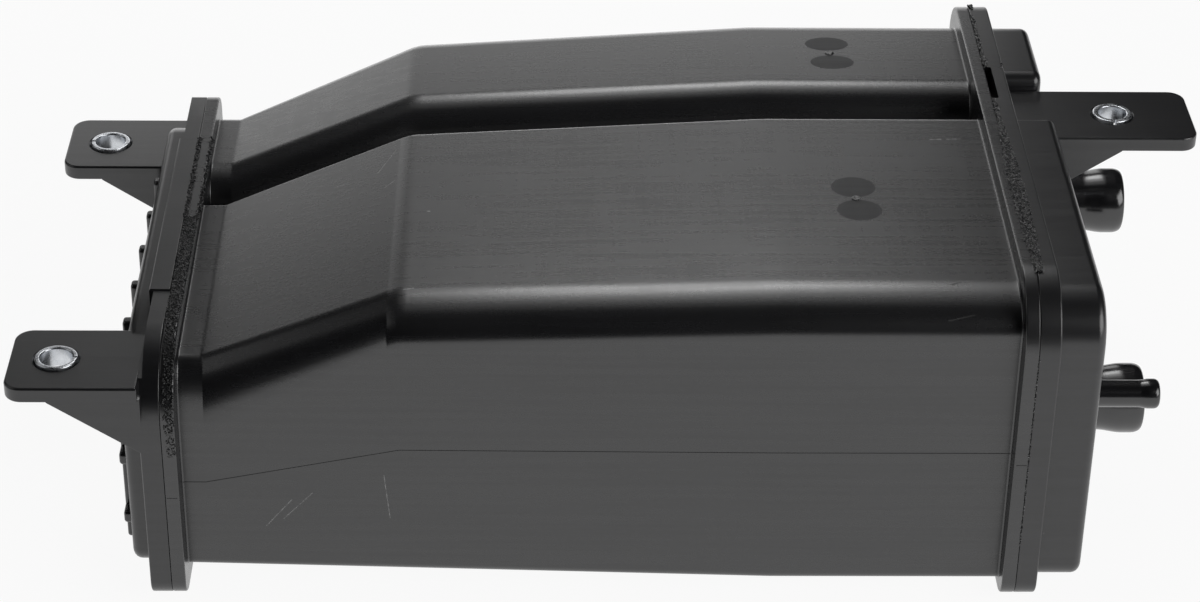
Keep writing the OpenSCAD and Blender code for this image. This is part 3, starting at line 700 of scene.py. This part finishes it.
class Nodes:
    """A node tree, with short calls for the nodes used here; a value is a number or another node's output."""

    def __init__(self, tree):
        self.tree = tree

    def new(self, kind):
        return self.tree.nodes.new("ShaderNode" + kind)

    def put(self, value, socket):
        if isinstance(value, bpy.types.NodeSocket):
            self.tree.links.new(value, socket)
        else:
            socket.default_value = value

    def math(self, operation, a, b, limited=False):
        node = self.new("Math")
        node.operation, node.use_clamp = operation, limited
        self.put(a, node.inputs[0])
        self.put(b, node.inputs[1])
        return node.outputs[0]

    def vector(self, operation, a, b=None, scale=None):
        """Vector sum; a dot product and a length give a number."""
        node = self.new("VectorMath")
        node.operation = operation
        self.put(a, node.inputs[0])
        if b is not None:
            self.put(b, node.inputs[1])
        if scale is not None:
            self.put(scale, node.inputs["Scale"])
        return node.outputs["Value" if operation in ("DOT_PRODUCT", "LENGTH") else "Vector"]

    def span(self, value, low, high, to_low, to_high, smooth=False):
        """Value from one range to another, held at its ends."""
        node = self.new("MapRange")
        node.interpolation_type = "SMOOTHSTEP" if smooth else "LINEAR"
        self.put(value, node.inputs["Value"])
        for key, number in (("From Min", low), ("From Max", high), ("To Min", to_low), ("To Max", to_high)):
            node.inputs[key].default_value = number
        return node.outputs["Result"]

    def between(self, factor, a, b):
        """Number between two others."""
        node = self.new("Mix")
        for value, socket in ((factor, node.inputs["Factor"]), (a, node.inputs[2]), (b, node.inputs[3])):
            self.put(value, socket)
        return node.outputs[0]

    def blend(self, factor, a, b):
        """Colour between two others."""
        node = self.new("Mix")
        node.data_type = "RGBA"
        self.put(factor, node.inputs["Factor"])
        for value, socket in ((a, node.inputs[6]), (b, node.inputs[7])):
            self.put(value if isinstance(value, bpy.types.NodeSocket) else (*value, 1.0), socket)
        return node.outputs[2]

    def strongest(self, masks):
        total = masks[0]
        for mask in masks[1:]:
            total = self.math("MAXIMUM", total, mask)
        return total


class Shader(Nodes):
    """Nodes of a new material, whose textures lie in millimetres."""

    def __init__(self, name):
        self.material = bpy.data.materials.new(name)
        self.material.use_nodes = True
        super().__init__(self.material.node_tree)
        self.bsdf = self.tree.nodes["Principled BSDF"]
        self.mm = self.vector("SCALE", self.new("TexCoord").outputs["Object"], scale=1000.0)

    def stretched(self, factors):
        return self.vector("MULTIPLY", self.mm, factors)

    def noise(self, scale, detail=2.0, roughness=0.5, vector=None):
        """Noise whose scale is in features to a millimetre."""
        node = self.new("TexNoise")
        self.put(vector or self.mm, node.inputs["Vector"])
        for key, number in (("Scale", scale), ("Detail", detail), ("Roughness", roughness)):
            node.inputs[key].default_value = number
        return node.outputs["Fac"]

    def cells(self, scale):
        """Distance to the nearest of many scattered points."""
        node = self.new("TexVoronoi")
        self.put(self.mm, node.inputs["Vector"])
        node.inputs["Scale"].default_value = scale
        return node.outputs["Distance"]

    def stroke(self, start, end, width):
        """Mask of a straight mark between two design-frame points."""
        node = self.new("Group")
        node.node_tree = stroke_group()
        self.put(self.mm, node.inputs["Position"])
        node.inputs["From"].default_value = metres(start) * 1000
        node.inputs["To"].default_value = metres(end) * 1000
        node.inputs["Width"].default_value = width
        return node.outputs["Mask"]

    def bump(self, height, distance):
        node = self.new("Bump")
        node.inputs["Strength"].default_value = 1.0
        node.inputs["Distance"].default_value = distance / 1000
        self.put(height, node.inputs["Height"])
        return node.outputs["Normal"]

    def set(self, **values):
        """Puts values on the shader; an underscore stands for a space in a socket's name."""
        for key, value in values.items():
            self.put(value, self.bsdf.inputs[key.replace("_", " ")])
        return self.material


def stroke_group():
    """Node group: distance from a position to a segment, as a soft mask."""
    group = bpy.data.node_groups.get("stroke")
    if group:
        return group
    group = bpy.data.node_groups.new("stroke", "ShaderNodeTree")
    for name in ("Position", "From", "To"):
        group.interface.new_socket(name, in_out="INPUT", socket_type="NodeSocketVector")
    group.interface.new_socket("Width", in_out="INPUT", socket_type="NodeSocketFloat")
    group.interface.new_socket("Mask", in_out="OUTPUT", socket_type="NodeSocketFloat")
    n = Nodes(group)
    source, sink = group.nodes.new("NodeGroupInput"), group.nodes.new("NodeGroupOutput")
    reach = n.vector("SUBTRACT", source.outputs["To"], source.outputs["From"])
    offset = n.vector("SUBTRACT", source.outputs["Position"], source.outputs["From"])
    projection, square = n.vector("DOT_PRODUCT", offset, reach), n.vector("DOT_PRODUCT", reach, reach)
    nearest = n.vector("SCALE", reach, scale=n.math("DIVIDE", projection, square, limited=True))
    distance = n.vector("LENGTH", n.vector("SUBTRACT", offset, nearest))
    n.put(n.span(n.math("DIVIDE", distance, source.outputs["Width"]), 0.35, 1.0, 1.0, 0.0), sink.inputs["Mask"])
    return group


# Marks on the body's top, ramp and front edge: start, end and half width
PALE_MARKS = [
    ((-53.3, 21.0, 91.5), (-50.8, 21.4, 91.5), 0.35), ((-42.5, 18.4, 91.8), (-37.5, 19.2, 92.0), 0.3),
    ((-32.9, 18.2, 92.2), (-30.4, 19.1, 92.2), 0.3), ((-27.1, 20.2, 92.4), (-24.7, 20.7, 92.4), 0.3),
    ((-63.8, 90.1, 89.1), (-58.9, 101.8, 90.4), 0.2), ((-61.2, 80.6, 89.7), (-58.4, 83.5, 90.5), 0.2),
    ((-76.4, 87.5, 85.7), (-72.5, 88.2, 86.8), 0.2), ((100.1, 101.2, 95.0), (103.4, 101.4, 95.0), 0.25),
    ((105.0, 101.4, 95.0), (109.1, 101.6, 95.0), 0.25), ((-48.1, 63.5, 91.6), (-47.7, 63.3, 91.6), 0.45),
    ((105.6, 9.8, 92.2), (107.2, 10.3, 92.6), 0.25)]
FRONT_MARKS = [
    ((-93.0, 6.8, 21.5), (-85.5, 6.8, 30.5), 0.2), ((-88.0, 6.8, 24.0), (-79.5, 6.7, 33.0), 0.16),
    ((-59.4, 6.5, 39.0), (-58.0, 6.5, 24.5), 0.16)]
DARK_MARKS = [
    ((-50.0, 14.9, 91.1), (-37.7, 13.8, 91.1), 0.25), ((-67.7, 8.9, 83.2), (-54.0, 10.6, 88.6), 0.3),
    ((95.9, 7.7, 90.0), (102.8, 8.8, 91.2), 0.25), ((97.6, 18.8, 95.0), (99.9, 19.9, 95.0), 0.5)]


def painted_edge_highlight():
    """Painted highlight: pale line along the main chamber's back edge, from the crease to the port flange."""
    width, inset, drop = 1.1, 0.35, 0.1
    places = [CREASE + 1, (CREASE + DRAFT_END) / 2, DRAFT_END, BODY_END - 1]
    points = [(x, main_y(x) - inset, top_z(x) - drop) for x in places]
    return [(a, b, width) for a, b in zip(points, points[1:])]


def moulded(name, colour, roughness, specular=0.95, streaks=0.02, grain=0.018, marked=False):
    """Satin moulded plastic: faint brushed lines both ways, light mottling, fine grain and a little dust."""
    s = Shader(name)
    mottle, fine = s.noise(0.03, 3.0, 0.6), s.noise(0.8, 1.0, 0.5)
    lengthwise = s.noise(1.0, 3.0, 0.6, s.stretched((0.012, 0.55, 0.55)))
    crosswise = s.noise(1.0, 2.0, 0.5, s.stretched((0.5, 0.02, 0.5)))
    brushed = s.math("ADD", s.math("MULTIPLY", lengthwise, 0.75), s.math("MULTIPLY", crosswise, 0.25))
    specks, dusty = s.span(s.cells(0.07), 0.0, 0.03, 1.0, 0.0), s.span(s.noise(0.04, 1.0), 0.45, 0.6, 0.0, 1.0)
    dust = s.math("MULTIPLY", specks, dusty)
    darker, lighter, streak = ([c * share for c in colour] for share in (0.75, 1.1, 1.7))
    tone = s.blend(s.span(mottle, 0.3, 0.7, 0.0, 1.0), darker, lighter)
    tone = s.blend(s.span(brushed, 0.38, 0.62, 0.0, 0.8), tone, streak)
    tone = s.blend(s.math("MULTIPLY", dust, 0.5), tone, grey(0.3))
    rough = s.math("ADD", s.span(brushed, 0.38, 0.62, roughness + streaks, roughness - streaks),
                   s.span(mottle, 0.3, 0.7, -0.01, 0.01))
    height = s.math("ADD", s.math("MULTIPLY", fine, 0.5), s.math("MULTIPLY", brushed, 0.5))
    if marked:
        broken = s.span(s.noise(0.9, 3.0, 0.7), 0.42, 0.6, 0.2, 1.0)
        pale = s.math("MULTIPLY", s.strongest([s.stroke(*m) for m in PALE_MARKS + FRONT_MARKS]), broken)
        dark = s.strongest([s.stroke(*m) for m in DARK_MARKS])
        scored = s.math("MAXIMUM", pale, dark)
        tone = s.blend(s.math("MULTIPLY", pale, 0.8), tone, grey(0.42))
        # Painted highlight: a pale line along the main chamber's back edge stands in for the edge's reflection
        tone = s.blend(s.strongest([s.stroke(*m) for m in painted_edge_highlight()]), tone, grey(0.7))
        tone = s.blend(dark, tone, grey(0.002))
        rough = s.math("ADD", rough, s.math("MULTIPLY", scored, 0.3))
        height = s.math("SUBTRACT", height, s.math("MULTIPLY", scored, 0.8))
    return s.set(Base_Color=tone, Roughness=rough, Specular_IOR_Level=specular, Normal=s.bump(height, grain))


def flash_plastic(name, pale):
    """Torn weld flash: black grains with pale stressed spots."""
    s = Shader(name)
    spots = s.span(s.noise(1.5, 2.0, 0.7), 0.45, 0.62, 0.0, 1.0)
    tone = s.blend(spots, (0.008, 0.008, 0.009), grey(pale))
    rough = s.span(spots, 0.0, 1.0, 0.3, 0.5)
    return s.set(Base_Color=tone, Roughness=rough, Normal=s.bump(s.noise(4.0, 2.0), 0.03))


def zinc():
    """Bright zinc on rolled steel, with fine drawn lines round it and dull patches."""
    s = Shader("zinc_sleeve")
    patch = s.noise(0.35, 3.0, 0.6)
    lines = s.noise(1.0, 2.0, 0.6, s.stretched((0.5, 0.5, 3.0)))
    tone = s.blend(s.span(patch, 0.35, 0.65, 0.0, 1.0), (0.56, 0.58, 0.61), (0.74, 0.76, 0.79))
    rough = s.math("ADD", s.span(patch, 0.35, 0.65, 0.24, 0.34), s.span(lines, 0.3, 0.7, -0.03, 0.03))
    return s.set(Base_Color=tone, Metallic=1.0, Roughness=rough, Normal=s.bump(lines, 0.003))


def charcoal():
    """Bed of small pellets, with painted shade darkening the gaps between them."""
    s = Shader("charcoal_bed")
    pellets = s.cells(0.45)
    # Painted shade: darker towards each pellet's rim, in the gaps between pellets
    tone = s.blend(s.span(pellets, 0.2, 0.7, 0.0, 1.0), (0.02, 0.02, 0.021), (0.004, 0.004, 0.004))
    return s.set(Base_Color=tone, Roughness=s.span(s.noise(0.6), 0.3, 0.7, 0.7, 0.95), Normal=s.bump(pellets, 0.8))


def foam():
    """Open pores with painted shade: dark in the pores, paler on the walls between them."""
    s = Shader("filter_foam")
    pores = s.cells(1.6)
    # Painted shade: pores darker than the walls around them
    tone = s.blend(s.span(pores, 0.1, 0.6, 0.0, 1.0), (0.05, 0.05, 0.055), (0.2, 0.2, 0.21))
    rough = s.span(s.noise(0.3), 0.3, 0.7, 0.85, 1.0)
    return s.set(Base_Color=tone, Roughness=rough, Normal=s.bump(pores, 0.4))


def natural_plastic():
    """Undyed plastic, faintly clouded."""
    s = Shader("natural_plastic")
    cloud = s.noise(0.08, 3.0, 0.6)
    tone = s.blend(s.span(cloud, 0.3, 0.7, 0.0, 1.0), (0.62, 0.6, 0.55), (0.72, 0.7, 0.66))
    rough = s.span(s.noise(0.7), 0.3, 0.7, 0.4, 0.55)
    return s.set(Base_Color=tone, Roughness=rough, Normal=s.bump(s.noise(2.5), 0.02))


def spring_steel():
    """Drawn wire."""
    s = Shader("spring_wire")
    lines = s.noise(1.0, 2.0, 0.6, s.stretched((6.0, 0.4, 0.4)))
    tone = s.blend(s.span(lines, 0.3, 0.7, 0.0, 1.0), (0.3, 0.31, 0.33), (0.45, 0.46, 0.48))
    rough = s.span(s.noise(0.5), 0.3, 0.7, 0.25, 0.4)
    return s.set(Base_Color=tone, Metallic=1.0, Roughness=rough, Normal=s.bump(lines, 0.01))


BODY = moulded("satin_body", (0.0105, 0.0105, 0.0115), 0.28, marked=True)
COVER = moulded("satin_cover", (0.0095, 0.0095, 0.0105), 0.30, specular=0.82)
PORT = moulded("glossy_port", (0.008, 0.008, 0.009), 0.2, streaks=0.01, grain=0.008)
DULL = moulded("dull_oval", (0.009, 0.009, 0.0105), 0.5, specular=0.35, grain=0.008)
END_FLASH = flash_plastic("end_weld_flash", 0.05)
PORT_FLASH = flash_plastic("port_weld_flash", 0.22)
ZINC = zinc()
INSIDE = {
    "charcoal": charcoal(), "foam": foam(), "grid_plastic": natural_plastic(), "spring_steel": spring_steel()}

# Pieces
finished(body_moulding(), BODY, ["canister_body"])
finished(end_moulding(), COVER, ["end_cover"])
finished(port_moulding(), COVER, ["port_cover"])
for name, port, neck, bore, tip, node in (
        ("tank_neck", TANK, LARGE_NECK, LARGE_BORE, flare_tip(), "port_tank"),
        ("vent_neck", VENT, LARGE_NECK, LARGE_BORE, flare_tip(), "port_vent"),
        ("purge_neck", PURGE, SMALL_NECK, SMALL_BORE, bead_tip(), "port_purge")):
    finished(port_neck(name, port, neck, bore, tip), PORT, [node])
for node, x, y, top, bore, slit in (
        ("sleeve_front_left", END_SLEEVE_X, FRONT_TAB_Y, END_TAB_TOP, END_SLEEVE_ID, 0),
        ("sleeve_rear_left", END_SLEEVE_X, REAR_TAB_Y, END_TAB_TOP, END_SLEEVE_ID, 180),
        ("sleeve_port_side", PORT_SLEEVE_X, PORT_TAB_Y, PORT_TAB_TOP, PORT_SLEEVE_ID, 270)):
    finished(rolled_sleeve("rolled_" + node, x, y, top, bore, slit), ZINC, [node])
finished(end_flash(), END_FLASH, smooth_angle=GRAIN_ANGLE)
finished(port_flash(), PORT_FLASH, smooth_angle=GRAIN_ANGLE)
finished(parting_ridge(), BODY)
finished(gate_ovals(), DULL)
for name, x, y in (("gate_dot_vent", 74.4, 157.2), ("gate_dot_main", 75.1, 65.8)):
    finished(gate_dot(name, x, y, top_z(x)), PORT_FLASH)
for node, slot in (
        ("carbon_main", "charcoal"), ("carbon_vent", "charcoal"), ("grid_main", "grid_plastic"),
        ("grid_vent", "grid_plastic"), ("plate_main", "grid_plastic"), ("plate_vent", "grid_plastic"),
        ("screen_tank", "foam"), ("screen_purge", "foam"), ("screen_vent", "foam"), ("pad_main", "foam"),
        ("pad_vent", "foam"), ("spring_main_front", "spring_steel"), ("spring_main_rear", "spring_steel"),
        ("spring_vent", "spring_steel")):
    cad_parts[node].data.materials.clear()
    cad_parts[node].data.materials.append(INSIDE[slot])


# Camera, fitted to the photograph: millimetres, degrees, and a focal length in pixels of the photograph's width
PHOTO_WIDTH, FOCAL_PIXELS, SENSOR = 1200, 3045.0, 36.0
CAMERA_AT = (-15.1, -693.2, 530.9)
CAMERA_PITCH, CAMERA_YAW, CAMERA_ROLL = 31.81, 1.27, -0.85


def add_camera():
    pitch, yaw, roll = (math.radians(a) for a in (CAMERA_PITCH, CAMERA_YAW, CAMERA_ROLL))
    forward = Vector((math.sin(yaw) * math.cos(pitch), math.cos(yaw) * math.cos(pitch), -math.sin(pitch)))
    level = Vector((math.cos(yaw), -math.sin(yaw), 0.0))
    down = forward.cross(level)
    right = math.cos(roll) * level + math.sin(roll) * down
    down = math.cos(roll) * down - math.sin(roll) * level
    camera = placed("camera", bpy.data.cameras.new("camera"))
    camera.data.sensor_width = SENSOR
    camera.data.lens = FOCAL_PIXELS / PHOTO_WIDTH * SENSOR
    turn = Matrix((right, -down, -forward)).transposed().to_4x4()
    camera.matrix_world = Matrix.Translation(metres(CAMERA_AT)) @ turn
    bpy.context.scene.camera = camera


# Studio: a white floor, a faint room, and panels and soft boxes behind, above and beside the object, in metres
FLOOR_SIZE, FLOOR_DROP, FLOOR_GLOW, FLOOR_FILL = 6.0, 0.0004, 0.93, 0.5
# Place, direction it faces, width, height and radiance of each lamp
LAMPS = {
    "low_panel": ((-0.13, 0.65, 0.19), (0.0, -1.0, 0.0), 0.68, 0.38, 1.05),
    "middle_panel": ((-0.015, 0.65, 0.54), (0.0, -1.0, -0.3), 0.34, 0.32, 0.22),
    "left_low_panel": ((-0.38, 0.65, 0.36), (0.0, -1.0, -0.1), 0.32, 0.34, 0.2),
    "edge_softbox": ((0.04, 0.65, 0.87), (0.0, -0.7, -0.7), 0.32, 0.28, 4.4),
    "upper_softbox": ((0.04, 0.50, 1.13), (0.0, -0.45, -0.9), 0.38, 0.30, 1.5),
    "overhead_softbox": ((0.04, 0.22, 1.25), (0.0, -0.2, -1.0), 0.44, 0.30, 0.45),
    "left_softbox": ((-1.1, 0.0, 0.9), (1.0, 0.0, -0.75), 1.0, 0.8, 0.5),
    "right_softbox": ((1.2, -0.8, 0.75), (-1.2, 0.8, -0.7), 1.2, 1.0, 2.6)}


def add_lamp(name, place, facing, width, height, radiance):
    """Area lamp of a given radiance, which is a quarter of its energy over its area."""
    light = bpy.data.lights.new(name, "AREA")
    light.shape, light.size, light.size_y = "RECTANGLE", width, height
    light.energy = 4 * width * height * radiance
    lamp = placed(name, light)
    lamp.location = place
    lamp.rotation_euler = Vector(facing).to_track_quat("-Z", "Y").to_euler()
    lamp.visible_camera = False


def add_floor():
    """Floor just under the object: nearly white to the camera and in reflections, and a soft fill from below."""
    mesh = bpy.data.meshes.new("floor")
    corners = [(x * FLOOR_SIZE, y * FLOOR_SIZE, -FLOOR_DROP) for x, y in ((-1, -1), (1, -1), (1, 1), (-1, 1))]
    mesh.from_pydata(corners, [], [(0, 1, 2, 3)])
    floor = placed("floor", mesh)
    s = Shader("white_floor")
    s.set(Base_Color=s.blend(s.noise(0.01, 2.0), grey(0.8), grey(0.82)), Roughness=0.9, Specular_IOR_Level=0.2)
    path = s.new("LightPath")
    seen = s.strongest([path.outputs[key] for key in ("Is Camera Ray", "Is Glossy Ray", "Is Transmission Ray")])
    fill = s.math("MULTIPLY", path.outputs["Is Diffuse Ray"], FLOOR_FILL)
    mixer = s.new("MixShader")
    s.put(s.math("MAXIMUM", s.math("MULTIPLY", seen, FLOOR_GLOW), fill), mixer.inputs["Fac"])
    s.put(s.bsdf.outputs[0], mixer.inputs[1])
    s.put(s.new("Emission").outputs[0], mixer.inputs[2])
    s.put(mixer.outputs[0], s.tree.nodes["Material Output"].inputs["Surface"])
    mesh.materials.append(s.material)


def add_world():
    """Faint room in strengths of the world's own dark grey: darkest high in front, brighter overhead and behind."""
    world = bpy.data.worlds.new("studio")
    bpy.context.scene.world = world
    world.use_nodes = True
    n = Nodes(world.node_tree)
    split = n.new("SeparateXYZ")
    n.put(n.new("TexCoord").outputs["Generated"], split.inputs[0])
    up, back = split.outputs["Z"], split.outputs["Y"]
    upper_front = n.span(up, 0.75, 0.95, 0.04, 0.3, smooth=True)
    front_wall = n.between(n.span(up, 0.1, 0.3, 0.0, 1.0, smooth=True), 0.5, upper_front)
    back_wall = n.span(up, 0.5, 0.8, 0.28, 0.3, smooth=True)
    room = n.between(n.span(back, -0.2, 0.25, 0.0, 1.0, smooth=True), front_wall, back_wall)
    seen = n.new("LightPath").outputs["Is Camera Ray"]
    n.put(n.between(seen, room, 1.0), n.tree.nodes["Background"].inputs["Strength"])


add_camera()
add_floor()
add_world()
for name, lamp in LAMPS.items():
    add_lamp(name, *lamp)

bpy.context.scene.view_settings.view_transform = "Standard"
